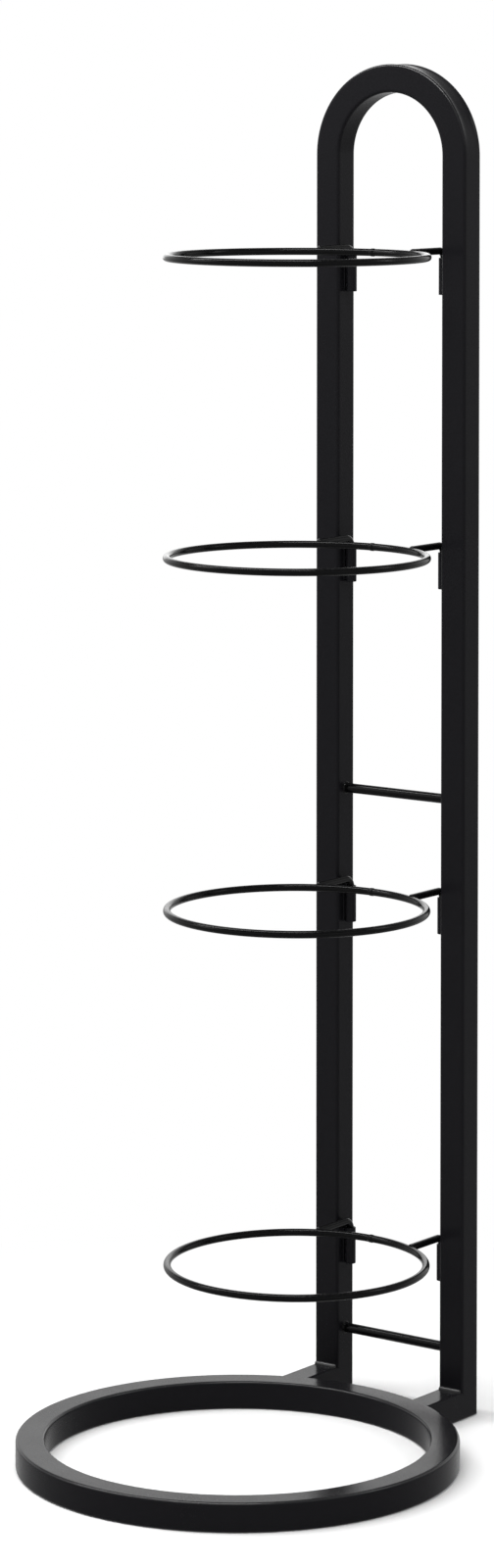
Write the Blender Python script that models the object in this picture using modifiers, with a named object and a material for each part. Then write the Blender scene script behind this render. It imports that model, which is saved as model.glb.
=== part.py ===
"""Ball storage rack in square steel tube, with four lift-off rings of round wire.

Units are metres and +Z is up. The origin lies on the floor under the middle of the rack's box.
The base ring points to -Y, the hoop stands at the back, and the ball rings hang in front of the
hoop. Each ball ring carries two wire legs, and each leg drops into a short tube socket on the
inner side of an upright.
"""

import math

import bmesh
import bpy
from mathutils import Matrix, Vector

# Square tube of the base ring, the feet and the hoop
TUBE = 0.023
TUBE_WALL = 0.0012
TUBE_CORNER = 0.002

# Base ring on the floor
BASE_DIAMETER = 0.350
BASE_REACH = 0.216
VENT_DIAMETER = 0.008

# Fillet weld in the corner between a foot and its upright
WELD_LEG = 0.005
WELD_BULGE = 0.0025

# Hoop of two uprights and an arch
RACK_HEIGHT = 1.102
UPRIGHT_SPACING = 0.125

# Round bars between the uprights
CROSSBAR_DIAMETER = 0.008
CROSSBAR_LOWER_HEIGHT = 0.0545
CROSSBAR_MIDDLE_HEIGHT = 0.5055

# Ball rings at the centre of their wire, the top one measured down from the top of the hoop
WIRE = 0.006
BALL_RING_BORE = 0.201
BALL_RING_REACH = 0.138
TIER_1_DROP = 0.152
TIER_2_HEIGHT = 0.711
TIER_3_HEIGHT = 0.429
TIER_4_HEIGHT = 0.1435

# Legs of a ball ring
LEG_RISE = 0.0015
LEG_LAP = 0.001
BEND_INSIDE = 0.004
LEG_TIP_RECESS = 0.003

# Sockets on the inner sides of the uprights
SOCKET_WALL = 0.0012
SOCKET_HEIGHT = 0.030
LEG_CLEARANCE = 0.0003

# Seam left between two pieces that are welded or seated against each other
SEAM = 0.0003

# Facets
CORNER_STEPS = 3
BORE_CORNER_STEPS = 1
BASE_STEPS = 80
ARCH_STEPS = 28
BEND_STEPS = 6
RING_STEPS = 56
WELD_STEPS = 4
WIRE_SIDES = 12
ROD_SIDES = 24
SOCKET_STEPS = 24

# Places that follow from the sizes above
HALF_TUBE = TUBE / 2
BASE_RADIUS = BASE_DIAMETER / 2
UPRIGHT_X = UPRIGHT_SPACING / 2
HOOP_Y = (BASE_REACH + BASE_RADIUS - HALF_TUBE) / 2
BASE_Y = HOOP_Y - BASE_REACH
RING_Y = HOOP_Y - BALL_RING_REACH
RING_RADIUS = (BALL_RING_BORE + WIRE) / 2
SOCKET_BORE_RADIUS = WIRE / 2 + LEG_CLEARANCE
SOCKET_RADIUS = SOCKET_BORE_RADIUS + SOCKET_WALL
SOCKET_X = UPRIGHT_X - HALF_TUBE - SEAM - SOCKET_RADIUS
SOCKET_Y = HOOP_Y
BEND_RADIUS = BEND_INSIDE + WIRE / 2

TIERS = {1: RACK_HEIGHT - TIER_1_DROP, 2: TIER_2_HEIGHT, 3: TIER_3_HEIGHT, 4: TIER_4_HEIGHT}
SIDES = {"left": -1, "right": 1}

FRAME_BLACK = (0.012, 0.012, 0.013, 1.0)
WIRE_BLACK = (0.010, 0.010, 0.011, 1.0)


def clear_scene():
    for old in list(bpy.data.objects):
        bpy.data.objects.remove(old, do_unlink=True)


def new_collection(name):
    made = bpy.data.collections.new(name)
    bpy.context.scene.collection.children.link(made)
    return made


def coat(name, colour, roughness):
    """A powder coat as one Principled shader."""
    made = bpy.data.materials.new(name)
    made.use_nodes = True
    shader = made.node_tree.nodes["Principled BSDF"]
    shader.inputs["Base Color"].default_value = colour
    shader.inputs["Roughness"].default_value = roughness
    shader.inputs["Metallic"].default_value = 0.0
    return made


def place(made, collection, material=None):
    """Moves an object into its collection and gives it its material and smooth round faces."""
    for old in list(made.users_collection):
        old.objects.unlink(made)
    collection.objects.link(made)
    if material:
        made.data.materials.clear()
        made.data.materials.append(material)
        made.data.shade_smooth()
        made.data.set_sharp_from_angle(angle=math.radians(40))
    return made


def hide_cutter(made, cutters):
    made.hide_render = True
    made.display_type = "WIRE"
    return place(made, cutters)


def mesh_of(bent):
    """Turns a bevelled curve into a closed mesh object with the same name and place."""
    name = bent.name
    bpy.context.view_layer.update()
    graph = bpy.context.evaluated_depsgraph_get()
    mesh = bpy.data.meshes.new_from_object(bent.evaluated_get(graph))
    matrix = bent.matrix_world.copy()
    bpy.data.objects.remove(bent, do_unlink=True)
    welded = bmesh.new()
    welded.from_mesh(mesh)
    bmesh.ops.remove_doubles(welded, verts=welded.verts, dist=0.00001)
    bmesh.ops.recalc_face_normals(welded, faces=welded.faces)
    welded.to_mesh(mesh)
    welded.free()
    made = bpy.data.objects.new(name, mesh)
    bpy.context.scene.collection.objects.link(made)
    made.matrix_world = matrix
    return made


def curve_object(name, points, dimensions, cyclic=False):
    curve = bpy.data.curves.new(name, "CURVE")
    curve.dimensions = dimensions
    curve.fill_mode = "NONE" if dimensions == "2D" else "FULL"
    curve.use_fill_caps = not cyclic
    spline = curve.splines.new("POLY")
    spline.points.add(len(points) - 1)
    for place_on_curve, point in zip(spline.points, points):
        place_on_curve.co = (*point, 1.0)
    spline.use_cyclic_u = cyclic
    made = bpy.data.objects.new(name, curve)
    bpy.context.scene.collection.objects.link(made)
    return made


def arc_points(centre, radius, start, end, steps):
    """Points of a flat arc, both ends included, with the angles in degrees."""
    angles = [math.radians(start + (end - start) * step / steps) for step in range(steps + 1)]
    return [(centre[0] + radius * math.cos(a), centre[1] + radius * math.sin(a)) for a in angles]


def square_outline(name, side, corner, steps):
    """A square with round corners, as the section that a tube's path carries."""
    offset = side / 2 - corner
    points = []
    for turn in range(4):
        angle = math.radians(45 + 90 * turn)
        centre = (math.copysign(offset, math.cos(angle)), math.copysign(offset, math.sin(angle)))
        points += arc_points(centre, corner, 90 * turn, 90 * turn + 90, steps)
    return curve_object(name, [(x, y, 0.0) for x, y in points], "2D", cyclic=True)


def swept(name, path, section, cyclic=False, stand_up=False):
    """A section swept along a flat path. The path lies in XY, or stands in XZ."""
    made = curve_object(name, [(x, y, 0.0) for x, y in path], "2D", cyclic)
    made.data.bevel_mode = "OBJECT"
    made.data.bevel_object = section
    if stand_up:
        made.rotation_euler = (math.radians(90), 0.0, 0.0)
    solid = mesh_of(made)
    bpy.data.objects.remove(section, do_unlink=True)
    return solid


def boolean(made, other, operation="DIFFERENCE"):
    step = made.modifiers.new(f"{operation.lower()}_{other.name}", "BOOLEAN")
    step.operation = operation
    step.solver = "EXACT"
    step.object = other


def box(name, size, centre, cutters, rotation=(0.0, 0.0, 0.0)):
    bpy.ops.mesh.primitive_cube_add(size=1.0)
    made = bpy.context.object
    made.name = name
    made.data.transform(Matrix.Diagonal((*size, 1.0)))
    made.location = centre
    made.rotation_euler = rotation
    return hide_cutter(made, cutters)


def cylinder(name, radius, length, centre, sides, rotation=(0.0, 0.0, 0.0)):
    bpy.ops.mesh.primitive_cylinder_add(vertices=sides, radius=radius, depth=length)
    made = bpy.context.object
    made.name = name
    made.location = centre
    made.rotation_euler = rotation
    return made


def torus(name, radius, wire_radius, centre):
    bpy.ops.mesh.primitive_torus_add(
        major_segments=RING_STEPS,
        minor_segments=WIRE_SIDES,
        major_radius=radius,
        minor_radius=wire_radius,
    )
    made = bpy.context.object
    made.name = name
    made.location = centre
    return made


def tube_and_bore(name, path, bore_path, cutters, cyclic=False, stand_up=False):
    """The outer form of a square tube along a path, and the cutter of its bore."""
    outline = square_outline(name + "_section", TUBE, TUBE_CORNER, CORNER_STEPS)
    made = swept(name, path, outline, cyclic, stand_up)
    bore_corner = max(TUBE_CORNER - TUBE_WALL, TUBE_WALL / 4)
    bore_side = TUBE - 2 * TUBE_WALL
    bore_outline = square_outline(name + "_bore_section", bore_side, bore_corner, BORE_CORNER_STEPS)
    bore = swept(name + "_bore", bore_path, bore_outline, cyclic, stand_up)
    boolean(made, bore)
    return made, hide_cutter(bore, cutters)


def circle_y(radius, x):
    """How far a circle round the origin reaches along Y at this X."""
    return math.sqrt(radius**2 - x**2)


def make_base_ring(parts, cutters, black):
    """The floor ring, vented into the feet as powder-coated tube is."""
    middle = BASE_RADIUS - HALF_TUBE
    path = arc_points((0.0, 0.0), middle, 0, 360, BASE_STEPS)[:-1]
    ring, bore = tube_and_bore("base_ring", path, path, cutters, cyclic=True)
    for piece in (ring, bore):
        piece.location = (0.0, BASE_Y, HALF_TUBE)
    turned = (math.radians(90), 0.0, 0.0)
    for side, sign in SIDES.items():
        x = sign * UPRIGHT_X
        y = BASE_Y + circle_y(BASE_RADIUS, UPRIGHT_X)
        vent = cylinder(f"vent_{side}", VENT_DIAMETER / 2, TUBE, (x, y, HALF_TUBE), ROD_SIDES, turned)
        boolean(ring, hide_cutter(vent, cutters))
    place(ring, parts, black)


def mitre_cutter(name, x, side, cutters):
    """A block on one side of the plane where an upright meets its foot: 1 above it, -1 below it."""
    reach = 4 * TUBE
    normal = Vector((0.0, 1.0, 1.0)).normalized()
    centre = Vector((x, HOOP_Y, HALF_TUBE)) + normal * side * (reach / 2 - SEAM / 2)
    return box(name, (2 * TUBE, reach, reach), centre, cutters, (math.radians(-45), 0.0, 0.0))


def make_hoop(parts, cutters, black):
    """Both uprights and the arch, bent from one tube, with mitred lower ends."""
    arch_base = RACK_HEIGHT - HALF_TUBE - UPRIGHT_X
    arch = arc_points((0.0, arch_base), UPRIGHT_X, 180, 0, ARCH_STEPS)
    path = [(-UPRIGHT_X, -TUBE), *arch, (UPRIGHT_X, -TUBE)]
    bore_path = [(-UPRIGHT_X, -2 * TUBE), *arch, (UPRIGHT_X, -2 * TUBE)]
    hoop, bore = tube_and_bore("hoop_frame", path, bore_path, cutters, stand_up=True)
    for piece in (hoop, bore):
        piece.location = (0.0, HOOP_Y, 0.0)
    for side, sign in SIDES.items():
        boolean(hoop, mitre_cutter(f"upright_mitre_{side}", sign * UPRIGHT_X, -1, cutters))
    place(hoop, parts, black)


def corner_weld(name, x, cutters):
    """A fillet weld across the corner between a foot's top and the front of its upright.

    Its outline has X forward from the upright and Y up from the foot. The face is an arc round a point
    behind the corner, and the root sinks half a wall into the foot.
    """
    radius = math.hypot(WELD_LEG + WELD_BULGE, WELD_BULGE)
    tilt = math.degrees(math.atan2(WELD_BULGE, WELD_LEG + WELD_BULGE))
    face = arc_points((-WELD_BULGE, -WELD_BULGE), radius, tilt, 90 - tilt, WELD_STEPS)
    root = -TUBE_WALL / 2
    outline = [(SEAM, root), (WELD_LEG, root), *face[:-1], (SEAM, WELD_LEG)]
    made = curve_object(name, [(x_out, y_up, 0.0) for x_out, y_up in outline], "2D", cyclic=True)
    made.data.fill_mode = "BOTH"
    made.data.extrude = (TUBE - TUBE_CORNER) / 2
    forward, up, across = Vector((0, -1, 0)), Vector((0, 0, 1)), Vector((-1, 0, 0))
    made.rotation_euler = Matrix((forward, up, across)).transposed().to_euler()
    made.location = (x, HOOP_Y - HALF_TUBE, TUBE)
    return hide_cutter(mesh_of(made), cutters)


def make_foot(side, sign, parts, cutters, black):
    """A short tube from the back of the base ring to the foot of an upright."""
    front = BASE_Y + circle_y(BASE_RADIUS, UPRIGHT_X + HALF_TUBE) - TUBE
    back = HOOP_Y + TUBE
    path = [(0.0, front - HOOP_Y), (0.0, back - HOOP_Y)]
    bore_path = [(0.0, front - HOOP_Y - TUBE), (0.0, back - HOOP_Y + TUBE)]
    foot, bore = tube_and_bore(f"foot_{side}", path, bore_path, cutters)
    for piece in (foot, bore):
        piece.location = (sign * UPRIGHT_X, HOOP_Y, HALF_TUBE)
    boolean(foot, mitre_cutter(f"foot_mitre_{side}", sign * UPRIGHT_X, 1, cutters))
    ring_centre = (0.0, BASE_Y, HALF_TUBE)
    cope = cylinder(f"foot_cope_{side}", BASE_RADIUS + SEAM, 4 * TUBE, ring_centre, 4 * BASE_STEPS)
    boolean(foot, hide_cutter(cope, cutters))
    boolean(foot, corner_weld(f"foot_weld_{side}", sign * UPRIGHT_X, cutters), "UNION")
    place(foot, parts, black)


def make_crossbar(name, height, parts, black):
    length = UPRIGHT_SPACING - TUBE - 2 * SEAM
    turned = (0.0, math.radians(90), 0.0)
    bar = cylinder(name, CROSSBAR_DIAMETER / 2, length, (0.0, HOOP_Y, height), ROD_SIDES, turned)
    place(bar, parts, black)


def leg_height(tier):
    return TIERS[tier] + LEG_RISE


def seat_depth():
    """How far the socket's rim stands above the start of the bend that rests on it."""
    reach = BEND_RADIUS - SOCKET_BORE_RADIUS
    return math.sqrt(max(BEND_INSIDE**2 - reach**2, 0.0)) - SEAM


def socket_top(tier):
    return leg_height(tier) - BEND_RADIUS + seat_depth()


def make_socket(name, tier, sign, parts, black):
    """A short tube, turned from its wall's section, open at both ends."""
    inner, outer = SOCKET_BORE_RADIUS, SOCKET_RADIUS
    profile = [(outer, 0.0), (outer, -SOCKET_HEIGHT), (inner, -SOCKET_HEIGHT), (inner, 0.0)]
    mesh = bpy.data.meshes.new(name)
    edges = [(point, (point + 1) % len(profile)) for point in range(len(profile))]
    mesh.from_pydata([(x, 0.0, z) for x, z in profile], edges, [])
    made = bpy.data.objects.new(name, mesh)
    made.location = (sign * SOCKET_X, SOCKET_Y, socket_top(tier))
    turn = made.modifiers.new("turn", "SCREW")
    turn.axis = "Z"
    turn.steps = turn.render_steps = SOCKET_STEPS
    turn.use_merge_vertices = True
    turn.merge_threshold = 0.00001
    bpy.context.scene.collection.objects.link(made)
    place(made, parts, black)


def leg_points(rise_to_tip):
    """The leg in its own plane: back from the ring, round the bend at the origin and down."""
    ring_end = RING_Y + circle_y(RING_RADIUS, SOCKET_X) - LEG_LAP - SOCKET_Y
    bend = arc_points((-BEND_RADIUS, -BEND_RADIUS), BEND_RADIUS, 90, 0, BEND_STEPS)
    return [(ring_end, 0.0), *bend, (0.0, -rise_to_tip)]


def make_ball_ring(tier, parts, cutters, black):
    """A closed wire ring and its two legs, under one empty on the axis along which they lift."""
    carrier = bpy.data.objects.new(f"ball_ring_{tier}_lift", None)
    carrier.location = (0.0, SOCKET_Y, leg_height(tier))
    carrier.empty_display_size = WIRE
    parts.objects.link(carrier)
    centre = Vector((0.0, RING_Y - SOCKET_Y, -LEG_RISE))
    ring = torus(f"ball_ring_{tier}", RING_RADIUS, WIRE / 2, centre)
    notch = torus(f"ball_ring_{tier}_notch", RING_RADIUS, WIRE / 2 + SEAM, centre)
    hide_cutter(notch, cutters)
    place(ring, parts, black)
    ring.parent = notch.parent = carrier
    tip = leg_height(tier) - (socket_top(tier) - SOCKET_HEIGHT + LEG_TIP_RECESS)
    for side, sign in SIDES.items():
        points = [(0.0, y, z) for y, z in leg_points(tip)]
        wire = curve_object(f"ring_leg_{tier}_{side}", points, "3D")
        wire.data.bevel_depth = WIRE / 2
        wire.data.bevel_resolution = (WIRE_SIDES - 4) // 2
        leg = mesh_of(wire)
        leg.location = (sign * SOCKET_X, 0.0, 0.0)
        leg.parent = carrier
        boolean(leg, notch)
        place(leg, parts, black)


def build():
    clear_scene()
    parts = new_collection("ball_storage_rack")
    cutters = new_collection("cutters")
    cutters.hide_render = True
    frame_black = coat("black_powder_coat_frame", FRAME_BLACK, 0.42)
    wire_black = coat("black_powder_coat_wire", WIRE_BLACK, 0.32)
    make_base_ring(parts, cutters, frame_black)
    make_hoop(parts, cutters, frame_black)
    for side, sign in SIDES.items():
        make_foot(side, sign, parts, cutters, frame_black)
    make_crossbar("crossbar_lower", CROSSBAR_LOWER_HEIGHT, parts, wire_black)
    make_crossbar("crossbar_middle", CROSSBAR_MIDDLE_HEIGHT, parts, wire_black)
    for tier in TIERS:
        for side, sign in SIDES.items():
            make_socket(f"socket_{tier}_{side}", tier, sign, parts, frame_black)
        make_ball_ring(tier, parts, cutters, wire_black)


build()
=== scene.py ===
"""Looks of a ball storage rack in black powder-coated steel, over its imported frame.

Each operator makes one kind of piece as smooth tube, rod or wire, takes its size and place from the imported
nodes, and stands in for those nodes. The last operator sets the studio. Units are metres, +Z is up, and the
rack's front looks towards -Y.
"""

import math

import bmesh
import bpy
from bpy.props import FloatProperty, FloatVectorProperty, IntProperty, PointerProperty
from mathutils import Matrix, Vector


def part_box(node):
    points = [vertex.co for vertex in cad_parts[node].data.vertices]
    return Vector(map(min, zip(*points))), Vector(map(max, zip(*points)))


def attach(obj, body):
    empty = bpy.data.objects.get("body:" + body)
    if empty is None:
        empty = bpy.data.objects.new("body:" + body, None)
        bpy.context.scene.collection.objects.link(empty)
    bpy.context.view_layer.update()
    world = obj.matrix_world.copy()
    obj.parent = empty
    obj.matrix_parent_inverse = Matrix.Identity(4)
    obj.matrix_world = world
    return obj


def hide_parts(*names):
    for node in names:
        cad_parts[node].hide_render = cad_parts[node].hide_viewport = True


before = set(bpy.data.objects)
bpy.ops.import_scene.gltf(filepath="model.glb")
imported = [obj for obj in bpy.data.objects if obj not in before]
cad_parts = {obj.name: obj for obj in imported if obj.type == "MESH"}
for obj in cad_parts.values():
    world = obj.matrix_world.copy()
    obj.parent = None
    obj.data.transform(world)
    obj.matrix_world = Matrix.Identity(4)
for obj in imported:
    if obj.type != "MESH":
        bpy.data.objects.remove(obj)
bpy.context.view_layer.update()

bl_info = {
    "name": "Ball Storage Rack",
    "version": (1, 0, 0),
    "blender": (4, 5, 0),
    "location": "View3D > Sidebar > Ball Rack",
    "description": "Tubes, wires, welds, powder coat and studio of a ball storage rack",
    "category": "Add Mesh",
}

TIERS = (1, 2, 3, 4)
SIDES = ("left", "right")
BARS = ("lower", "middle")

FRAME_BODY = "frame"

FACE_BACK = (math.radians(90), 0.0, 0.0)
FACE_SIDE = (0.0, math.radians(90), 0.0)
FACE_UP = (0.0, 0.0, 0.0)

MERGE = 0.000005
SMOOTH_BELOW = math.radians(38)  # faces that meet at less shade smooth
RIM_ABOVE = math.radians(60)  # edges of a socket that are sharper get a rounded rim

# Cuts and facets of the finer shapes, and angles in degrees along their rounds
FLAT_CUTS = 11
RIM_STEPS = 3
BEND_STEPS = 16
BUTT_STEPS = 8
WAVE_STEPS = 4
DOME_ANGLES = (30, 50, 70, 90)
NOSE_ANGLES = (20, 40, 55, 70, 90)
FLARE_ANGLES = (0, 15, 30, 50, 70, 90)

# Shares of a bead's radius: how deep it sinks into its corner, and the distance between its ripples
CORNER_SINK = 0.12
SOCKET_SINK = 0.3
RIPPLE_PITCH = 0.6

# Shares of the tube's corner radius that a bead keeps off the ends of its joint
CORNER_WELD_INSET = 0.6
RING_WELD_INSET = 0.5

SOCKET_WELD_REACH = 0.6  # share of the socket's radius from its axis forwards or back to a bead
FLARE_STRETCH = 1.6  # length of a crossbar's flare along the bar against its height
BUTT_SHARE = 0.55  # share of the butt weld's length that stands proud
DRAW_RISE = 2.5  # how soon the draw of the arch's outer wall grows from the arch's ends

# Limits between which noise, or a part of the normal, fades an effect in
TOP_FADE = (0.3, 1.0)
# Noise over which patches of dust fade in on faces that look up; these lighter patches also paint a mottled
# sheen on the tops
DUST_AND_SHEEN_FADE = (0.42, 0.68)
CLOUD_FADE = (0.3, 0.7)
# The next limits shape worn edges that also carry a painted highlight: uneven patches, and edges that look
# up
RUB_AND_HIGHLIGHT_FADE = (0.35, 0.65)
EDGE_FADE = (0.10, 0.24)
# Normal's Z over which edges that look up fade in; there the lighter edge colour is a painted highlight from
# the lamps above as well as wear
EDGE_HIGHLIGHT_FADE = (0.05, 0.45)

RUB_AND_HIGHLIGHT_LEAST = 0.5  # share of the edge wear and painted highlight where they are weakest
CLOUDS_PER_METRE = 14.0
CLOUD_ROUGHNESS = 0.035  # how far the clouds move the roughness either way
DUST_ROUGHNESS = (-0.05, 0.06)  # what the patches of dust add to it, at least and at most

WHITE = (1.0, 1.0, 1.0, 1.0)
FLOOR_RADIUS = 14.0
FLOOR_SIDES = 96
FLOOR_FADE = (0.2, 0.7)  # distances from the rack's middle between which paint turns to white
WALL_FADE = (0.32, 0.45)  # heights of a ray's direction between which white walls turn to ceiling
SENSOR = 36.0  # width in millimetres

# Each lamp's power in the studio's settings, its size, its place and the point that it is aimed at
LAMPS = {
    "top_softbox": ("top_light", (3.2, 0.35), (-0.8, -0.5, 2.4), (-0.8, 0.1, 0.5)),
    "side_softbox": ("side_light", (1.4, 1.4), (-2.2, -1.6, 1.7), (0.0, 0.0, 0.5)),
    "right_softbox": ("right_light", (0.5, 1.0), (1.8, 1.2, 1.9), (0.0, 0.19, 1.0)),
    "back_softbox": ("back_light", (2.6, 1.4), (-1.9, 2.5, 1.4), (0.0, 0.19, 0.5)),
}


def span(node, axis):
    """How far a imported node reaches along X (0), Y (1) or Z (2)."""
    low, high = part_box(node)
    return high[axis] - low[axis]


def middle(node):
    low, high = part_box(node)
    return (low + high) / 2


class RackTubeSizes(bpy.types.PropertyGroup):
    """Square tube of the floor ring, the feet and the hoop."""

    side: FloatProperty(
        name="Side",
        description="Outside width of the square tube",
        default=span("base_ring", 2),
        min=0.005,
        unit="LENGTH",
    )
    corner: FloatProperty(
        name="Corner",
        description="Outside radius of the tube's long edges",
        default=0.0023,
        min=0.0001,
        unit="LENGTH",
    )
    corner_steps: IntProperty(
        name="Corner Steps",
        description="Facets round one long edge",
        default=6,
        min=1,
    )
    ring_steps: IntProperty(
        name="Ring Steps",
        description="Facets round the floor ring, a multiple of four",
        default=240,
        min=24,
        step=4,
    )
    arch_steps: IntProperty(
        name="Arch Steps",
        description="Facets round the hoop's arch",
        default=96,
        min=12,
    )
    draw_in: FloatProperty(
        name="Draw In",
        description="How far bending sinks the outer wall of the arch",
        default=0.001,
        min=0.0,
        unit="LENGTH",
    )


class RackWeldSizes(bpy.types.PropertyGroup):
    """Weld beads between the pieces of the frame."""

    corner_bead: FloatProperty(
        name="Corner Bead",
        description="Radius of the bead between a foot and its upright",
        default=0.0030,
        min=0.0005,
        unit="LENGTH",
    )
    corner_end: FloatProperty(
        name="Corner Bead End",
        description="Rounding of that bead's square ends",
        default=0.0006,
        min=0.0001,
        unit="LENGTH",
    )
    ring_bead: FloatProperty(
        name="Ring Bead",
        description="Radius of the upright bead between a foot and the floor ring",
        default=0.0022,
        min=0.0005,
        unit="LENGTH",
    )
    socket_bead: FloatProperty(
        name="Socket Bead",
        description="Radius of the beads that hold a socket to its upright",
        default=0.0011,
        min=0.0003,
        unit="LENGTH",
    )
    ripple: FloatProperty(
        name="Ripple",
        description="How much a bead swells at each of its ripples",
        default=0.012,
        min=0.0,
        max=0.3,
        subtype="FACTOR",
    )
    sides: IntProperty(
        name="Sides",
        description="Facets round a bead",
        default=20,
        min=6,
    )


class RackWireSizes(bpy.types.PropertyGroup):
    """Round wire of the ball rings and their legs, round bar and sockets."""

    sides: IntProperty(
        name="Sides",
        description="Facets round a wire or bar",
        default=28,
        min=8,
    )
    ring_steps: IntProperty(
        name="Ring Steps",
        description="Facets along a ball ring",
        default=216,
        min=24,
    )
    bend_inside: FloatProperty(
        name="Bend",
        description="Inside radius of a leg's bend",
        default=0.004,
        min=0.0005,
        unit="LENGTH",
    )
    leg_nose: FloatProperty(
        name="Leg Nose",
        description="Length of a leg's end that the weld to its ring has rounded",
        default=0.002,
        min=0.0001,
        unit="LENGTH",
    )
    tip_chamfer: FloatProperty(
        name="Tip Chamfer",
        description="Chamfer at the cut ends of a leg",
        default=0.0006,
        min=0.0,
        unit="LENGTH",
    )
    butt_weld: FloatProperty(
        name="Butt Weld",
        description="How far the butt weld that closes a ball ring stands proud",
        default=0.00035,
        min=0.0,
        unit="LENGTH",
    )
    butt_length: FloatProperty(
        name="Butt Weld Length",
        description="Length of the butt weld along the wire",
        default=0.005,
        min=0.001,
        unit="LENGTH",
    )
    collar: FloatProperty(
        name="Collar",
        description="How far the weld at a crossbar's end flares",
        default=0.0014,
        min=0.0,
        unit="LENGTH",
    )
    socket_wall: FloatProperty(
        name="Socket Wall",
        description="Wall of a leg's socket",
        default=0.0012,
        min=0.0003,
        unit="LENGTH",
    )
    socket_rim: FloatProperty(
        name="Socket Rim",
        description="Rounding of a socket's rims",
        default=0.0004,
        min=0.0,
        unit="LENGTH",
    )


class RackFinish(bpy.types.PropertyGroup):
    """Black powder coat."""

    frame_black: FloatVectorProperty(
        name="Frame Black",
        description="Colour of the coat on tube, sockets and their welds",
        subtype="COLOR",
        size=3,
        default=(0.0079, 0.0077, 0.0090),
        min=0.0,
        max=1.0,
    )
    wire_black: FloatVectorProperty(
        name="Wire Black",
        description="Colour of the coat on wire and bar",
        subtype="COLOR",
        size=3,
        default=(0.0016, 0.0016, 0.0018),
        min=0.0,
        max=1.0,
    )
    frame_roughness: FloatProperty(
        name="Frame Roughness",
        description="Roughness of the satin coat on the tube",
        default=0.21,
        min=0.0,
        max=1.0,
        subtype="FACTOR",
    )
    wire_roughness: FloatProperty(
        name="Wire Roughness",
        description="Roughness of the glossier coat on wire and bar",
        default=0.16,
        min=0.0,
        max=1.0,
        subtype="FACTOR",
    )
    weld_roughness: FloatProperty(
        name="Weld Roughness",
        description="Roughness of the coat where it has flowed smooth over the beads",
        default=0.14,
        min=0.0,
        max=1.0,
        subtype="FACTOR",
    )
    gloss: FloatProperty(
        name="Gloss",
        description="Specular level of the satin coat on the tube",
        default=0.055,
        min=0.0,
        max=1.0,
        subtype="FACTOR",
    )
    wire_gloss: FloatProperty(
        name="Wire Gloss",
        description="Specular level of the coat on wire and bar",
        default=0.1,
        min=0.0,
        max=1.0,
        subtype="FACTOR",
    )
    smooth_gloss: FloatProperty(
        name="Smooth Gloss",
        description="Specular level of the coat on beads and on rubbed long edges",
        default=0.35,
        min=0.0,
        max=1.0,
        subtype="FACTOR",
    )
    # Edge wear and painted highlight: this lighter colour goes only on round edges that look up, where the
    # lamps above catch them
    worn_edge_and_highlight: FloatVectorProperty(
        name="Worn Edge",
        description="Colour of the tube's long edges, where the coat lies thin and is rubbed smooth",
        subtype="COLOR",
        size=3,
        default=(0.020, 0.020, 0.021),
        min=0.0,
        max=1.0,
    )
    # Dust and painted sheen: this lighter colour in patches on faces that look up mottles the tops as their
    # reflection would
    dust_and_sheen: FloatVectorProperty(
        name="Dust",
        description="Colour of the fine dust on faces that look up",
        subtype="COLOR",
        size=3,
        default=(0.013, 0.013, 0.0135),
        min=0.0,
        max=1.0,
    )
    # Also the spacing of the painted sheen's patches on the tops
    dust_and_sheen_size: FloatProperty(
        name="Dust Size",
        description="Distance between the patches of dust",
        default=0.0019,
        min=0.0001,
        unit="LENGTH",
    )
    peel_size: FloatProperty(
        name="Orange Peel",
        description="Distance between the waves of the coat's orange peel",
        default=0.0016,
        min=0.0001,
        unit="LENGTH",
    )
    peel_height: FloatProperty(
        name="Orange Peel Height",
        description="Height of the orange peel's waves",
        default=0.00005,
        min=0.0,
        unit="LENGTH",
    )
    grain_size: FloatProperty(
        name="Grain",
        description="Size of the specks that the powder leaves",
        default=0.0004,
        min=0.00005,
        unit="LENGTH",
    )
    grain_height: FloatProperty(
        name="Grain Height",
        description="Height of the powder's specks",
        default=0.000006,
        min=0.0,
        unit="LENGTH",
    )


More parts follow.
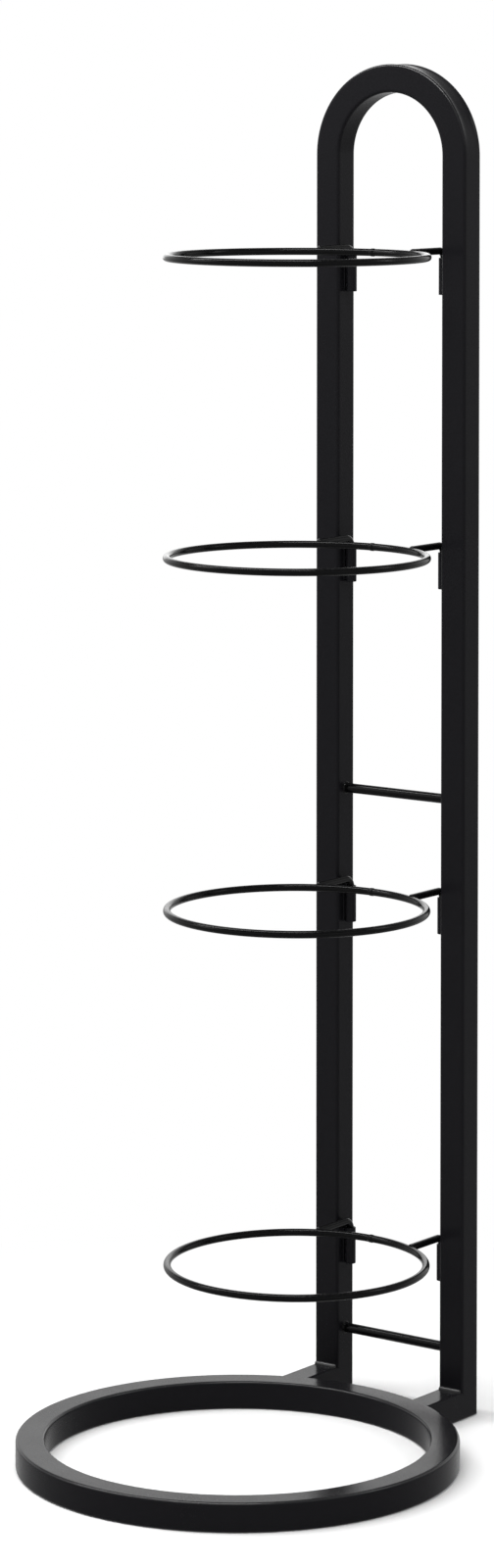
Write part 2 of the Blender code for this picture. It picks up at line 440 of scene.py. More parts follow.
class RackStudio(bpy.types.PropertyGroup):
    """Camera, lamps and floor."""

    azimuth: FloatProperty(
        name="Azimuth",
        description="How far the camera stands round to the right of the rack's front",
        default=math.radians(36.953),
        subtype="ANGLE",
    )
    tilt: FloatProperty(
        name="Tilt",
        description="How far the camera looks down",
        default=math.radians(3.0),
        subtype="ANGLE",
    )
    distance: FloatProperty(
        name="Distance",
        description="Level distance from the hoop to the camera",
        default=3.8881,
        min=0.5,
        unit="LENGTH",
    )
    sideways: FloatProperty(
        name="Sideways",
        description="How far the camera is moved to its right",
        default=-0.1225,
        unit="LENGTH",
    )
    height: FloatProperty(
        name="Height",
        description="Height of the camera above the floor",
        default=1.121,
        unit="LENGTH",
    )
    lens: FloatProperty(
        name="Lens",
        description="Focal length in millimetres",
        default=109.76,
        min=10.0,
    )
    shift: FloatProperty(
        name="Shift",
        description="Vertical shift of the lens as a share of the picture's height",
        default=-0.3143,
    )
    top_light: FloatProperty(
        name="Top Light",
        description="Power of the long softbox above the rack",
        default=60.0,
        min=0.0,
        unit="POWER",
    )
    side_light: FloatProperty(
        name="Side Light",
        description="Power of the softbox at the left",
        default=12.0,
        min=0.0,
        unit="POWER",
    )
    right_light: FloatProperty(
        name="Right Light",
        description="Power of the tall softbox at the right, behind the rack",
        default=7.0,
        min=0.0,
        unit="POWER",
    )
    back_light: FloatProperty(
        name="Back Light",
        description="Power of the wide softbox behind the rack",
        default=12.5,
        min=0.0,
        unit="POWER",
    )
    ceiling: FloatProperty(
        name="Ceiling",
        description="How bright reflections show the room above its white walls",
        default=0.4,
        min=0.0,
    )
    room_light: FloatProperty(
        name="Room Light",
        description="Strength of the even light from the room",
        default=0.5,
        min=0.0,
    )
    floor_reflection: FloatProperty(
        name="Floor Reflection",
        description="How bright reflections show the floor",
        default=0.65,
        min=0.0,
    )
    floor_colour: FloatVectorProperty(
        name="Floor",
        description="Colour of the floor near the rack",
        subtype="COLOR",
        size=3,
        default=(0.93, 0.93, 0.93),
        min=0.0,
        max=1.0,
    )


def deselect():
    if bpy.context.object and bpy.context.object.mode == "EDIT":
        bpy.ops.object.mode_set(mode="OBJECT")
    bpy.ops.object.select_all(action="DESELECT")


def new_piece(name):
    """Names the object that an operator has just added, and moves its place into its mesh."""
    made = bpy.context.object
    made.name = name
    made.data.name = name
    bpy.ops.object.transform_apply(location=True, rotation=True, scale=True)
    bpy.ops.object.mode_set(mode="EDIT")
    bpy.ops.mesh.select_all(action="SELECT")
    return made


def select_edges(made, wanted):
    """Selects the edges that pass a test, in edit mode."""
    bpy.ops.mesh.select_mode(type="EDGE")
    bpy.ops.mesh.select_all(action="DESELECT")
    mesh = bmesh.from_edit_mesh(made.data)
    for edge in mesh.edges:
        if wanted(edge):
            edge.select_set(True)
    bmesh.update_edit_mesh(made.data)


def select_points(made, wanted):
    """Selects the points whose place passes a test, in edit mode."""
    bpy.ops.mesh.select_mode(type="VERT")
    bpy.ops.mesh.select_all(action="DESELECT")
    mesh = bmesh.from_edit_mesh(made.data)
    for point in mesh.verts:
        if wanted(point.co):
            point.select_set(True)
    mesh.select_flush(True)
    bmesh.update_edit_mesh(made.data)


def extrude(offset):
    bpy.ops.mesh.extrude_region_move(TRANSFORM_OT_translate={"value": Vector(offset)})


def swell(factor, centre):
    bpy.ops.transform.resize(value=(factor, factor, factor), center_override=centre)


def tube_outline(name, tube, centre, turn):
    """Starts a piece as the round-cornered outline of the square tube, with all its edges selected."""
    deselect()
    bpy.ops.mesh.primitive_plane_add(size=tube.side, location=centre, rotation=turn)
    made = new_piece(name)
    bpy.ops.mesh.bevel(offset=tube.corner, segments=tube.corner_steps, affect="VERTICES")
    bpy.ops.mesh.delete(type="ONLY_FACE")
    select_edges(made, lambda edge: edge.calc_length() > tube.side / 2)
    bpy.ops.mesh.subdivide(number_cuts=FLAT_CUTS)
    bpy.ops.mesh.select_all(action="SELECT")
    return made


def round_outline(name, radius, sides, centre, turn):
    """Starts a piece as a circle of edges, all selected."""
    deselect()
    bpy.ops.mesh.primitive_circle_add(vertices=sides, radius=radius, location=centre, rotation=turn)
    return new_piece(name)


def draw_out(start, direction, stations, radius):
    """Draws the selected circle out along a straight line through stations of distance and radius."""
    along, last_radius = 0.0, radius
    for distance, next_radius in stations:
        extrude(direction * (distance - along))
        swell(next_radius / last_radius, start + direction * distance)
        along, last_radius = distance, next_radius


def close_ends():
    bpy.ops.mesh.select_all(action="SELECT")
    bpy.ops.mesh.fill_holes(sides=0)


def check_closed(made):
    """Raises an error where a piece has an open edge or a face turned against its neighbour."""
    mesh = bmesh.new()
    mesh.from_mesh(made.data)
    loose = [edge for edge in mesh.edges if not edge.is_manifold or not edge.is_contiguous]
    volume = mesh.calc_volume(signed=True)
    mesh.free()
    if loose or volume <= 0:
        raise RuntimeError(f"{made.name} has {len(loose)} open edges and a volume of {volume}")


def smooth_piece(made):
    """Merges doubles, turns the faces outwards and shades the rounds smooth and the flats flat."""
    bpy.ops.object.mode_set(mode="EDIT")
    bpy.ops.mesh.select_all(action="SELECT")
    bpy.ops.mesh.remove_doubles(threshold=MERGE)
    bpy.ops.mesh.normals_make_consistent(inside=False)
    bpy.ops.object.mode_set(mode="OBJECT")
    check_closed(made)
    bpy.ops.object.shade_smooth_by_angle(angle=SMOOTH_BELOW)
    bpy.ops.object.modifier_add(type="WEIGHTED_NORMAL")
    made.modifiers[-1].keep_sharp = True
    bpy.ops.object.modifier_apply(modifier=made.modifiers[-1].name)


def seat(made, body, material, nodes=()):
    """Gives a finished piece its coat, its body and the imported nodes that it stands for."""
    made.data.materials.clear()
    made.data.materials.append(material)
    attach(made, body)
    if nodes:
        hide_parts(*nodes)


def copy_piece(made, name, offset):
    """A copy with its own mesh, moved by an offset that goes into that mesh."""
    deselect()
    made.select_set(True)
    bpy.context.view_layer.objects.active = made
    bpy.ops.object.duplicate(linked=False)
    copy = bpy.context.object
    copy.name = name
    copy.data.name = name
    bpy.ops.transform.translate(value=offset)
    bpy.ops.object.transform_apply(location=True, rotation=True, scale=True)
    return copy


def remove_piece(made):
    bpy.data.objects.remove(made, do_unlink=True)


def bead_stations(length, radius, end, ripple, ripple_length):
    """Distances and radii along a weld bead: a rounded end, a row of ripples and another rounded end."""
    dome = [math.radians(angle) for angle in DOME_ANGLES]
    stations = [(end * (1 - math.cos(angle)), radius - end * (1 - math.sin(angle))) for angle in dome]
    body = length - 2 * end
    steps = WAVE_STEPS * max(1, round(body / ripple_length))
    for step in range(1, steps + 1):
        wave = 0.5 - 0.5 * math.cos(math.tau * step / WAVE_STEPS)
        stations.append((end + body * step / steps, radius * (1 + ripple * wave)))
    rounded = stations[: len(dome) - 1]
    return stations + [(length - distance, size) for distance, size in reversed(rounded)]


def weld_bead(name, start, end, radius, rounding, welds):
    """A rippled weld bead between two points, closed at both rounded ends."""
    start, end = Vector(start), Vector(end)
    direction = (end - start).normalized()
    length = (end - start).length
    stations = bead_stations(length, radius, rounding, welds.ripple, radius * RIPPLE_PITCH)
    first_distance, first_radius = stations[0]
    turn = direction.to_track_quat("Z", "Y").to_euler()
    made = round_outline(name, first_radius, welds.sides, start + direction * first_distance, turn)
    draw_out(start, direction, stations[1:], first_radius)
    close_ends()
    smooth_piece(made)
    return made


def noise(nodes, links, coordinates, scale, detail, roughness=0.5):
    made = nodes.new("ShaderNodeTexNoise")
    made.inputs["Scale"].default_value = scale
    made.inputs["Detail"].default_value = detail
    made.inputs["Roughness"].default_value = roughness
    links.new(coordinates, made.inputs["Vector"])
    return made.outputs["Fac"]


def remap(nodes, links, value, low, high, new_low, new_high):
    made = nodes.new("ShaderNodeMapRange")
    made.inputs["From Min"].default_value = low
    made.inputs["From Max"].default_value = high
    made.inputs["To Min"].default_value = new_low
    made.inputs["To Max"].default_value = new_high
    links.new(value, made.inputs["Value"])
    return made.outputs["Result"]


def combine(nodes, links, operation, first, second):
    """A sum, product or the like of two values, each given or linked."""
    made = nodes.new("ShaderNodeMath")
    made.operation = operation
    for value, slot in zip((first, second), made.inputs):
        if isinstance(value, bpy.types.NodeSocket):
            links.new(value, slot)
        else:
            slot.default_value = value
    return made.outputs["Value"]


def blend_colour(nodes, links, factor, first, second):
    """Mixes a first colour, given or linked, with a second given colour."""
    made = nodes.new("ShaderNodeMix")
    made.data_type = "RGBA"
    if isinstance(first, bpy.types.NodeSocket):
        links.new(first, made.inputs["A"])
    else:
        made.inputs["A"].default_value = (*first, 1.0)
    made.inputs["B"].default_value = (*second, 1.0)
    links.new(factor, made.inputs["Factor"])
    return made.outputs["Result"]


def bump(nodes, links, height, distance, strength, under=None):
    made = nodes.new("ShaderNodeBump")
    made.inputs["Distance"].default_value = distance
    made.inputs["Strength"].default_value = strength
    links.new(height, made.inputs["Height"])
    if under is not None:
        links.new(under, made.inputs["Normal"])
    return made.outputs["Normal"]


def rubbed_and_highlit_edge(nodes, links, normal, axis):
    """1 on the round edges that look up and 0 on flats: where edge wear and a painted highlight from the
    lamps above go. The axis lies across the tube's flat sides.
    """
    squared = combine(nodes, links, "MULTIPLY", normal.outputs[axis], normal.outputs[axis])
    rest = combine(nodes, links, "SUBTRACT", 1.0, squared)
    slant = combine(nodes, links, "MULTIPLY", squared, rest)
    edge = remap(nodes, links, slant, *EDGE_FADE, 0.0, 1.0)
    upward = remap(nodes, links, normal.outputs["Z"], *EDGE_HIGHLIGHT_FADE, 0.0, 1.0)
    return combine(nodes, links, "MULTIPLY", edge, upward)


def powder_coat(name, finish, black, roughness, gloss, edge_axis=None):
    """Black powder coat: orange peel, specks, cloudy gloss, patches of dust on top that also paint a mottled
    sheen, and long edges worn smooth that are painted lighter as a highlight where they look up.
    """
    made = bpy.data.materials.get(name)
    if made:
        return made
    made = bpy.data.materials.new(name)
    made.use_nodes = True
    made.diffuse_color = (*black, 1.0)
    nodes, links = made.node_tree.nodes, made.node_tree.links
    shader = nodes["Principled BSDF"]
    shader.inputs["Metallic"].default_value = 0.0
    shader.inputs["Specular IOR Level"].default_value = gloss
    place = nodes.new("ShaderNodeTexCoord").outputs["Object"]
    normal = nodes.new("ShaderNodeSeparateXYZ")
    links.new(nodes.new("ShaderNodeNewGeometry").outputs["Normal"], normal.inputs["Vector"])

    specks = noise(nodes, links, place, 1 / finish.grain_size, detail=2.0, roughness=0.6)
    peel = noise(nodes, links, place, 1 / finish.peel_size, detail=2.0)
    patches = noise(nodes, links, place, 1 / finish.dust_and_sheen_size, detail=3.0, roughness=0.7)
    clouds = noise(nodes, links, place, CLOUDS_PER_METRE, detail=4.0, roughness=0.6)

    # Dust and painted sheen: faces that look up get lighter patches of colour
    top = remap(nodes, links, normal.outputs["Z"], *TOP_FADE, 0.0, 1.0)
    dust_and_sheen_mask = combine(nodes, links, "MULTIPLY", top, remap(nodes, links, patches, *DUST_AND_SHEEN_FADE, 0.0, 1.0))
    colour = blend_colour(nodes, links, dust_and_sheen_mask, black, finish.dust_and_sheen)
    # Wear and painted highlight: round edges that look up get a lighter colour in uneven patches, and a
    # higher gloss
    if edge_axis:
        edge = rubbed_and_highlit_edge(nodes, links, normal, edge_axis)
        uneven = remap(nodes, links, clouds, *RUB_AND_HIGHLIGHT_FADE, RUB_AND_HIGHLIGHT_LEAST, 1.0)
        rubbed_and_highlit = combine(nodes, links, "MULTIPLY", edge, uneven)
        colour = blend_colour(nodes, links, rubbed_and_highlit, colour, finish.worn_edge_and_highlight)
        shine = remap(nodes, links, rubbed_and_highlit, 0.0, 1.0, gloss, finish.smooth_gloss)
        links.new(shine, shader.inputs["Specular IOR Level"])
    links.new(colour, shader.inputs["Base Color"])

    smoothest, roughest = roughness - CLOUD_ROUGHNESS, roughness + CLOUD_ROUGHNESS
    cloudy = remap(nodes, links, clouds, *CLOUD_FADE, smoothest, roughest)
    patchy = remap(nodes, links, patches, *CLOUD_FADE, *DUST_ROUGHNESS)
    links.new(combine(nodes, links, "ADD", cloudy, patchy), shader.inputs["Roughness"])

    waves = bump(nodes, links, peel, finish.peel_height, 1.0)
    rough = bump(nodes, links, specks, finish.grain_height, 1.0, waves)
    links.new(rough, shader.inputs["Normal"])
    return made


def frame_coat(context, name, edge_axis=None):
    finish = context.scene.rack_finish
    return powder_coat(name, finish, finish.frame_black, finish.frame_roughness, finish.gloss, edge_axis)


def hoop_coat(context):
    return frame_coat(context, "black_coat_hoop", "Y")


def floor_ring_coat(context):
    return frame_coat(context, "black_coat_floor_ring", "Z")


def fitting_coat(context):
    return frame_coat(context, "black_coat_fittings")


def weld_coat(context):
    finish = context.scene.rack_finish
    black, roughness, gloss = finish.wire_black, finish.weld_roughness, finish.smooth_gloss
    return powder_coat("black_coat_welds", finish, black, roughness, gloss)


def wire_coat(context):
    finish = context.scene.rack_finish
    black, roughness, gloss = finish.wire_black, finish.wire_roughness, finish.wire_gloss
    return powder_coat("black_coat_wire", finish, black, roughness, gloss)


class BALLRACK_OT_floor_ring(bpy.types.Operator):
    """Bends the square tube round into the floor ring"""

    bl_idname = "ball_rack.floor_ring"
    bl_label = "Floor Ring"

    def execute(self, context):
        tube = context.scene.rack_tube
        centre = middle("base_ring")
        radius = (span("base_ring", 0) - tube.side) / 2
        made = tube_outline("floor_ring_tube", tube, centre + Vector((radius, 0.0, 0.0)), FACE_BACK)
        bpy.ops.mesh.spin(steps=tube.ring_steps, angle=math.tau, center=centre, axis=(0.0, 0.0, 1.0))
        smooth_piece(made)
        seat(made, FRAME_BODY, floor_ring_coat(context), ["base_ring"])
        return {"FINISHED"}


def hoop_place(tube):
    """The middle of the right upright's section, at half the tube's height above the floor."""
    low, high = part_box("hoop_frame")
    return Vector((high.x - tube.side / 2, (low.y + high.y) / 2, tube.side / 2))


def cut_mitre(tube, keep_above):
    """Cuts the piece in edit mode along the slanting plane where uprights meet feet."""
    bpy.ops.mesh.select_all(action="SELECT")
    bpy.ops.mesh.bisect(
        plane_co=hoop_place(tube),
        plane_no=(0.0, math.sqrt(0.5), math.sqrt(0.5)),
        use_fill=True,
        clear_inner=keep_above,
        clear_outer=not keep_above,
    )


def sink_outer_wall(made, tube, centre):
    """Sinks the outer wall of the arch between its edges, as a bend in square tube does."""
    flat = tube.side / 2 - tube.corner
    outer = hoop_place(tube).x + tube.side / 2
    mesh = bmesh.from_edit_mesh(made.data)
    for point in mesh.verts:
        arm = Vector((point.co.x, 0.0, point.co.z - centre.z))
        across = (point.co.y - centre.y) / flat
        if arm.z <= 0 or abs(across) >= 1 or arm.length < outer - tube.corner / 4:
            continue
        rise = min(1.0, arm.z / arm.length * DRAW_RISE)
        share = (1 - across**4) * rise * rise * (3 - 2 * rise)
        point.co -= arm.normalized() * tube.draw_in * share
    bmesh.update_edit_mesh(made.data)


class BALLRACK_OT_hoop(bpy.types.Operator):
    """Bends one length of the square tube into two uprights and an arch"""

    bl_idname = "ball_rack.hoop"
    bl_label = "Hoop"

    def execute(self, context):
        tube = context.scene.rack_tube
        foot = hoop_place(tube)
        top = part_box("hoop_frame")[1].z
        arch = Vector((0.0, foot.y, top - tube.side / 2 - foot.x))
        start = Vector((-foot.x, foot.y, -tube.side))
        made = tube_outline("hoop_tube", tube, start, FACE_UP)
        extrude((0.0, 0.0, arch.z - start.z))
        bpy.ops.mesh.spin(steps=tube.arch_steps, angle=-math.pi, center=arch, axis=(0.0, 1.0, 0.0))
        extrude((0.0, 0.0, start.z - arch.z))
        sink_outer_wall(made, tube, arch)
        cut_mitre(tube, keep_above=True)
        smooth_piece(made)
        seat(made, FRAME_BODY, hoop_coat(context), ["hoop_frame"])
        return {"FINISHED"}


class BALLRACK_OT_feet(bpy.types.Operator):
    """Cuts two feet from the square tube, coped to the floor ring and mitred to the uprights"""

    bl_idname = "ball_rack.feet"
    bl_label = "Feet"

    def execute(self, context):
        tube = context.scene.rack_tube
        ring = middle("base_ring")
        reach = span("base_ring", 0) / 2
        for side in SIDES:
            node = "foot_" + side
            x = middle(node).x
            back = hoop_place(tube).y + tube.side
            start = Vector((x, ring.y + reach / 2, tube.side / 2))
            made = tube_outline(node + "_tube", tube, start, FACE_BACK)
            extrude((0.0, back - start.y, 0.0))
            close_ends()
            cut_mitre(tube, keep_above=False)
            self.cope(made, tube, ring, reach - tube.corner)
            smooth_piece(made)
            seat(made, FRAME_BODY, fitting_coat(context), [node])
        return {"FINISHED"}

    def cope(self, made, tube, ring, radius):
        """Cuts the foot's front end round, where the floor ring's flat top begins."""
        deselect()
        bpy.ops.mesh.primitive_cylinder_add(
            vertices=tube.ring_steps,
            radius=radius,
            depth=tube.side * 4,
            location=ring,
        )
        cutter = bpy.context.object
        deselect()
        made.select_set(True)
        bpy.context.view_layer.objects.active = made
        bpy.ops.object.modifier_add(type="BOOLEAN")
        made.modifiers[-1].object = cutter
        made.modifiers[-1].operation = "DIFFERENCE"
        bpy.ops.object.modifier_apply(modifier=made.modifiers[-1].name)
        remove_piece(cutter)


class BALLRACK_OT_crossbars(bpy.types.Operator):
    """Draws the two round crossbars, flared where they are welded to the uprights"""

    bl_idname = "ball_rack.crossbars"
    bl_label = "Crossbars"

    def execute(self, context):
        tube = context.scene.rack_tube
        wire = context.scene.rack_wire
        inside = hoop_place(tube).x - tube.side / 2
        for bar in BARS:
            node = "crossbar_" + bar
            place = middle(node)
            radius = span(node, 2) / 2
            flare = self.flare(radius, wire.collar)
            start = Vector((-inside, place.y, place.z))
            made = round_outline(node + "_rod", flare[0][1], wire.sides, start, FACE_SIDE)
            far_flare = [(2 * inside - distance, size) for distance, size in reversed(flare)]
            stations = flare[1:] + [(inside, radius)] + far_flare
            draw_out(start, Vector((1.0, 0.0, 0.0)), stations, flare[0][1])
            close_ends()
            smooth_piece(made)
            seat(made, FRAME_BODY, wire_coat(context), [node])
        return {"FINISHED"}

    def flare(self, radius, collar):
        """Distances and radii of the hollow fillet at a bar's end."""
        angles = [math.radians(angle) for angle in FLARE_ANGLES]
        return [
            (collar * (1 - math.cos(angle)) * FLARE_STRETCH, radius + collar * (1 - math.sin(angle)))
            for angle in angles
        ]


class BALLRACK_OT_sockets(bpy.types.Operator):
    """Makes one socket and one weld bead and copies them to every tier and side"""

    bl_idname = "ball_rack.sockets"
    bl_label = "Sockets"

    def execute(self, context):
        tube = context.scene.rack_tube
        wire = context.scene.rack_wire
        welds = context.scene.rack_weld
        model = f"socket_{TIERS[0]}_{SIDES[0]}"
        place = middle(model)
        height = span(model, 2)
        radius = span(model, 0) / 2
        sleeve = self.sleeve(place, height, radius, wire)
        bead = self.bead(place, height, welds)
        for tier in TIERS:
            for side, outward in zip(SIDES, (-1, 1)):
                node = f"socket_{tier}_{side}"
                offset = middle(node) - place
                made = copy_piece(sleeve, node + "_sleeve", offset)
                seat(made, FRAME_BODY, fitting_coat(context), [node])
                wall = outward * (hoop_place(tube).x - tube.side / 2 + welds.socket_bead * SOCKET_SINK)
                for edge, sign in (("front", -1), ("back", 1)):
                    corner = Vector((wall - middle(node).x, sign * radius * SOCKET_WELD_REACH, 0.0))
                    weld = copy_piece(bead, f"{node}_weld_{edge}", offset + corner)
                    seat(weld, FRAME_BODY, fitting_coat(context))
        for made in (sleeve, bead):
            remove_piece(made)
        return {"FINISHED"}

    def sleeve(self, place, height, radius, wire):
        """A round tube, open at both ends, with rounded rims."""
        top = place + Vector((0.0, 0.0, height / 2))
        made = round_outline("socket_sleeve", radius, wire.sides * 2, top, FACE_UP)
        extrude((0.0, 0.0, -height))
        bpy.ops.mesh.select_all(action="SELECT")
        bpy.ops.mesh.normals_make_consistent(inside=False)
        bpy.ops.object.mode_set(mode="OBJECT")
        bpy.ops.object.modifier_add(type="SOLIDIFY")
        made.modifiers[-1].thickness = wire.socket_wall
        made.modifiers[-1].offset = -1.0
        bpy.ops.object.modifier_apply(modifier=made.modifiers[-1].name)
        bpy.ops.object.modifier_add(type="BEVEL")
        made.modifiers[-1].width = wire.socket_rim
        made.modifiers[-1].segments = RIM_STEPS
        made.modifiers[-1].limit_method = "ANGLE"
        made.modifiers[-1].angle_limit = RIM_ABOVE
        bpy.ops.object.modifier_apply(modifier=made.modifiers[-1].name)
        smooth_piece(made)
        return made

    def bead(self, place, height, welds):
        """An upright bead on the socket's axis. Copies go in the corners between socket and upright."""
        radius = welds.socket_bead
        half = Vector((0.0, 0.0, height / 2 - radius))
        return weld_bead("socket_bead", place - half, place + half, radius, radius, welds)


class BALLRACK_OT_ball_rings(bpy.types.Operator):
    """Bends one wire ring, closed by a butt weld at the back, and copies it to every tier"""

    bl_idname = "ball_rack.ball_rings"
    bl_label = "Ball Rings"

    def execute(self, context):
        wire = context.scene.rack_wire
        model = f"ball_ring_{TIERS[0]}"
        ring = self.ring(middle(model), span(model, 0) / 2, span(model, 2) / 2, wire)
        for tier in TIERS:
            node = f"ball_ring_{tier}"
            made = copy_piece(ring, node + "_wire", middle(node) - middle(model))
            seat(made, node, wire_coat(context), [node])
        remove_piece(ring)
        return {"FINISHED"}

    def ring(self, centre, outside, thick, wire):
        """A wire ring about its centre. It starts beside the butt weld at the back and goes once round."""
        radius = outside - thick
        weld_turn = wire.butt_length / radius
        start = Vector((math.sin(weld_turn / 2) * radius, math.cos(weld_turn / 2) * radius, 0.0))
        turn = (0.0, math.radians(90), -weld_turn / 2)
        made = round_outline("ball_ring_wire", thick, wire.sides, centre + start, turn)
        up = (0.0, 0.0, 1.0)
        bpy.ops.mesh.spin(steps=wire.ring_steps, angle=math.tau - weld_turn, center=centre, axis=up)
        bpy.ops.mesh.spin(steps=BUTT_STEPS, angle=weld_turn, center=centre, axis=up)
        bpy.ops.mesh.select_all(action="SELECT")
        bpy.ops.mesh.remove_doubles(threshold=MERGE)
        bpy.ops.mesh.normals_make_consistent(inside=False)
        half = wire.butt_length / 2 * BUTT_SHARE
        select_points(made, lambda co: co.y > centre.y and abs(co.x - centre.x) < half)
        bpy.ops.transform.shrink_fatten(value=wire.butt_weld)
        smooth_piece(made)
        return made


class BALLRACK_OT_ring_legs(bpy.types.Operator):
    """Bends one wire leg and copies it to every ball ring, left and right"""

    bl_idname = "ball_rack.ring_legs"
    bl_label = "Ring Legs"

    def execute(self, context):
        wire = context.scene.rack_wire
        model = f"ring_leg_{TIERS[0]}_{SIDES[0]}"
        leg = self.leg(model, wire)
        for tier in TIERS:
            for side in SIDES:
                node = f"ring_leg_{tier}_{side}"
                made = copy_piece(leg, node + "_wire", middle(node) - middle(model))
                seat(made, f"ball_ring_{tier}", wire_coat(context), [node])
        remove_piece(leg)
        return {"FINISHED"}

    def leg(self, node, wire):
        """A leg from its rounded nose on the ring, back, round the bend and down to its chamfered tip."""
        low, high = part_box(node)
        radius = (high.x - low.x) / 2
        x = (low.x + high.x) / 2
        bend = wire.bend_inside + radius
        height = high.z - radius
        corner = Vector((x, high.y - radius - bend, height - bend))
        small = radius - wire.tip_chamfer
        start = Vector((x, low.y, height))
        back = Vector((0.0, 1.0, 0.0))
        nose = self.nose(radius, wire.leg_nose)
        made = round_outline("leg_wire", nose[0][1], wire.sides, start, FACE_BACK)
        draw_out(start, back, [*nose[1:], (corner.y - low.y, radius)], nose[0][1])
        bpy.ops.mesh.spin(steps=BEND_STEPS, angle=math.radians(90), center=corner, axis=(1.0, 0.0, 0.0))
        end = Vector((x, corner.y + bend, corner.z))
        length = end.z - low.z
        tip = [(length - wire.tip_chamfer, radius), (length, small)]
        draw_out(end, Vector((0.0, 0.0, -1.0)), tip, radius)
        close_ends()
        smooth_piece(made)
        return made

    def nose(self, radius, length):
        """Distances and radii of the rounded end that the weld to the ring leaves."""
        angles = [math.radians(angle) for angle in NOSE_ANGLES]
        return [(length * (1 - math.cos(angle)), radius * math.sin(angle)) for angle in angles]


class BALLRACK_OT_welds(bpy.types.Operator):
    """Lays the beads between the feet, the uprights and the floor ring"""

    bl_idname = "ball_rack.welds"
    bl_label = "Welds"

    def execute(self, context):
        tube = context.scene.rack_tube
        welds = context.scene.rack_weld
        ring = middle("base_ring")
        reach = span("base_ring", 0) / 2
        half = tube.side / 2
        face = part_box("hoop_frame")[0].y
        for side in SIDES:
            x = middle("foot_" + side).x
            bead = welds.corner_bead
            sunk = bead * CORNER_SINK
            run = half - tube.corner * CORNER_WELD_INSET
            start = Vector((x - run, face + sunk, tube.side - sunk))
            end = Vector((x + run, face + sunk, tube.side - sunk))
            made = weld_bead(f"corner_weld_{side}", start, end, bead, welds.corner_end, welds)
            seat(made, FRAME_BODY, weld_coat(context))
            for edge, sign in (("left", -1), ("right", 1)):
                corner_x = x + sign * half
                corner_y = ring.y + math.sqrt(reach**2 - (corner_x - ring.x) ** 2)
                inset = tube.corner * RING_WELD_INSET
                low = Vector((corner_x, corner_y, inset))
                high = Vector((corner_x, corner_y, tube.side - inset))
                bead = welds.ring_bead
                made = weld_bead(f"ring_weld_{side}_{edge}", low, high, bead, bead, welds)
                seat(made, FRAME_BODY, fitting_coat(context))
        return {"FINISHED"}


def seen_directly(nodes, links):
    """1 for a ray from the camera, a reflection or a refraction, and 0 for light."""
    path = nodes.new("ShaderNodeLightPath").outputs
    seen = combine(nodes, links, "MAXIMUM", path["Is Camera Ray"], path["Is Glossy Ray"])
    return combine(nodes, links, "MAXIMUM", seen, path["Is Transmission Ray"])


def studio_floor_paint(colour, reflection):
    """Pale paint near the rack that turns to plain white further out, and is one grey in reflections."""
    made = bpy.data.materials.new("studio_floor")
    made.use_nodes = True
    nodes, links = made.node_tree.nodes, made.node_tree.links
    nodes.remove(nodes["Principled BSDF"])
    paint = nodes.new("ShaderNodeBsdfDiffuse")
    paint.inputs["Color"].default_value = (*colour, 1.0)
    white = nodes.new("ShaderNodeEmission")
    reflected = nodes.new("ShaderNodeLightPath").outputs["Is Glossy Ray"]
    links.new(remap(nodes, links, reflected, 0.0, 1.0, 1.0, reflection), white.inputs["Strength"])
    away = nodes.new("ShaderNodeVectorMath")
    away.operation = "LENGTH"
    links.new(nodes.new("ShaderNodeTexCoord").outputs["Object"], away.inputs[0])
    fade = nodes.new("ShaderNodeMapRange")
    fade.interpolation_type = "SMOOTHSTEP"
    fade.inputs["From Min"].default_value, fade.inputs["From Max"].default_value = FLOOR_FADE
    links.new(away.outputs["Value"], fade.inputs["Value"])
    faded = combine(nodes, links, "MULTIPLY", fade.outputs["Result"], seen_directly(nodes, links))
    mix = nodes.new("ShaderNodeMixShader")
    links.new(combine(nodes, links, "MAXIMUM", faded, reflected), mix.inputs["Fac"])
    links.new(paint.outputs["BSDF"], mix.inputs[1])
    links.new(white.outputs["Emission"], mix.inputs[2])
    links.new(mix.outputs["Shader"], nodes["Material Output"].inputs["Surface"])
    return made


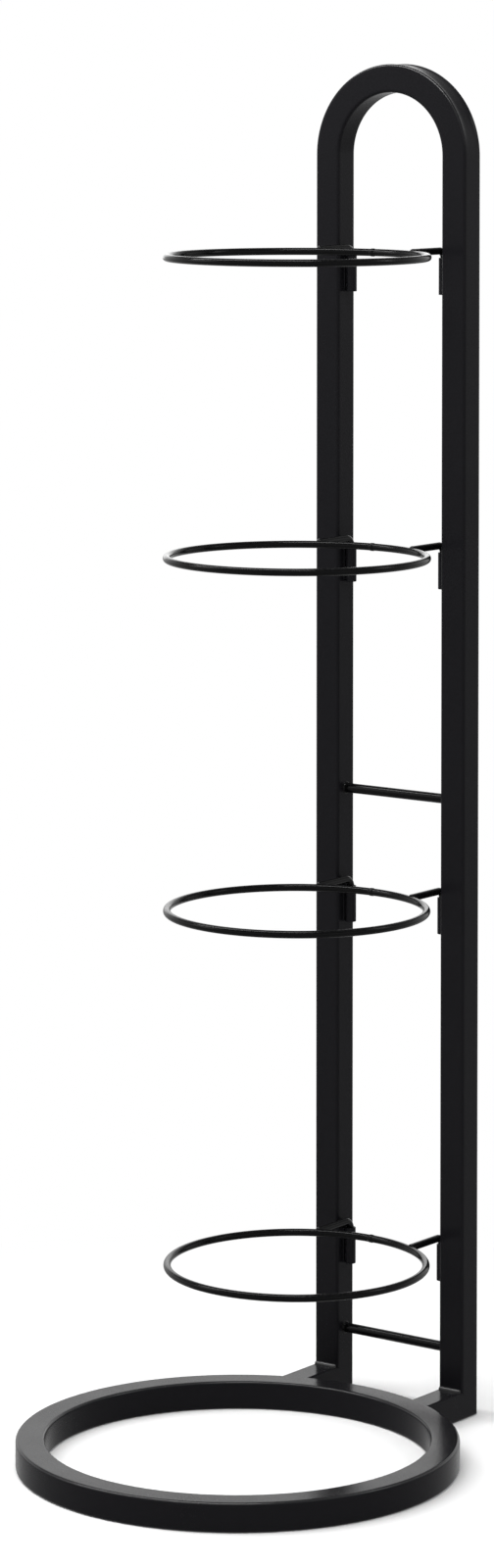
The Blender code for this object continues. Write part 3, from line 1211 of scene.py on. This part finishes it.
class BALLRACK_OT_studio(bpy.types.Operator):
    """Sets the pale floor, the soft lamps, the white room and the camera"""

    bl_idname = "ball_rack.studio"
    bl_label = "Studio"

    def execute(self, context):
        studio = context.scene.rack_studio
        self.floor(studio)
        self.room(context.scene, studio)
        for name, (power, size, place, target) in LAMPS.items():
            self.lamp(name, getattr(studio, power), size, place, target)
        self.camera(context.scene, studio)
        context.scene.view_settings.view_transform = "Standard"
        return {"FINISHED"}

    def floor(self, studio):
        deselect()
        bpy.ops.mesh.primitive_circle_add(vertices=FLOOR_SIDES, radius=FLOOR_RADIUS, fill_type="NGON")
        made = bpy.context.object
        made.name = "studio_floor"
        made.data.materials.append(studio_floor_paint(studio.floor_colour, studio.floor_reflection))

    def room(self, scene, studio):
        """Even light, with a white background that reflections see dimmed above the walls."""
        world = bpy.data.worlds.new("studio_room")
        world.use_nodes = True
        nodes, links = world.node_tree.nodes, world.node_tree.links
        light = nodes["Background"]
        light.inputs["Color"].default_value = WHITE
        light.inputs["Strength"].default_value = studio.room_light
        white = nodes.new("ShaderNodeBackground")
        white.inputs["Color"].default_value = WHITE
        direction = nodes.new("ShaderNodeSeparateXYZ")
        links.new(nodes.new("ShaderNodeTexCoord").outputs["Generated"], direction.inputs["Vector"])
        walls = remap(nodes, links, direction.outputs["Z"], *WALL_FADE, 1.0, studio.ceiling)
        camera_ray = nodes.new("ShaderNodeLightPath").outputs["Is Camera Ray"]
        links.new(combine(nodes, links, "MAXIMUM", walls, camera_ray), white.inputs["Strength"])
        mix = nodes.new("ShaderNodeMixShader")
        links.new(seen_directly(nodes, links), mix.inputs["Fac"])
        links.new(light.outputs["Background"], mix.inputs[1])
        links.new(white.outputs["Background"], mix.inputs[2])
        links.new(mix.outputs["Shader"], nodes["World Output"].inputs["Surface"])
        scene.world = world

    def lamp(self, name, power, size, place, target):
        deselect()
        bpy.ops.object.light_add(type="AREA", location=place)
        made = bpy.context.object
        made.name = name
        made.data.energy = power
        made.data.shape = "RECTANGLE"
        made.data.size, made.data.size_y = size
        aim = Vector(target) - Vector(place)
        made.rotation_euler = aim.to_track_quat("-Z", "Y").to_euler()

    def camera(self, scene, studio):
        """The camera of the photograph. Its place is measured from the middle of the hoop's foot."""
        hoop = middle("hoop_frame")
        turn = studio.azimuth
        right = Vector((math.cos(turn), math.sin(turn), 0.0))
        away = Vector((math.sin(turn), -math.cos(turn), 0.0))
        place = Vector((0.0, hoop.y, studio.height)) + away * studio.distance + right * studio.sideways
        deselect()
        bpy.ops.object.camera_add(location=place, rotation=(math.pi / 2 - studio.tilt, 0.0, turn))
        made = bpy.context.object
        made.name = "studio_camera"
        made.data.lens = studio.lens
        made.data.sensor_width = SENSOR
        made.data.sensor_fit = "AUTO"
        made.data.shift_y = studio.shift
        scene.camera = made


class BALLRACK_PT_sidebar(bpy.types.Panel):
    """Sizes, finish and studio of the ball rack, with a button for each step"""

    bl_idname = "BALLRACK_PT_sidebar"
    bl_label = "Ball Rack"
    bl_space_type = "VIEW_3D"
    bl_region_type = "UI"
    bl_category = "Ball Rack"

    def draw(self, context):
        layout = self.layout
        for group_name in GROUPS:
            group = getattr(context.scene, group_name)
            box = layout.box()
            box.label(text=GROUPS[group_name][1])
            for name in group.bl_rna.properties.keys():
                if name not in {"rna_type", "name"}:
                    box.prop(group, name)
        for step in STEPS:
            layout.operator(step.bl_idname)


GROUPS = {
    "rack_tube": (RackTubeSizes, "Square Tube"),
    "rack_wire": (RackWireSizes, "Wire and Bar"),
    "rack_weld": (RackWeldSizes, "Welds"),
    "rack_finish": (RackFinish, "Finish"),
    "rack_studio": (RackStudio, "Studio"),
}

STEPS = (
    BALLRACK_OT_floor_ring,
    BALLRACK_OT_hoop,
    BALLRACK_OT_feet,
    BALLRACK_OT_crossbars,
    BALLRACK_OT_sockets,
    BALLRACK_OT_ball_rings,
    BALLRACK_OT_ring_legs,
    BALLRACK_OT_welds,
    BALLRACK_OT_studio,
)


def register():
    for group_name, (group, label) in GROUPS.items():
        bpy.utils.register_class(group)
        setattr(bpy.types.Scene, group_name, PointerProperty(type=group, name=label))
    for step in STEPS:
        bpy.utils.register_class(step)
    bpy.utils.register_class(BALLRACK_PT_sidebar)


def unregister():
    bpy.utils.unregister_class(BALLRACK_PT_sidebar)
    for step in reversed(STEPS):
        bpy.utils.unregister_class(step)
    for group_name, (group, _) in reversed(GROUPS.items()):
        delattr(bpy.types.Scene, group_name)
        bpy.utils.unregister_class(group)


def main():
    register()
    bpy.ops.ball_rack.floor_ring()
    bpy.ops.ball_rack.hoop()
    bpy.ops.ball_rack.feet()
    bpy.ops.ball_rack.crossbars()
    bpy.ops.ball_rack.sockets()
    bpy.ops.ball_rack.ball_rings()
    bpy.ops.ball_rack.ring_legs()
    bpy.ops.ball_rack.welds()
    bpy.ops.ball_rack.studio()


if __name__ == "__main__":
    main()
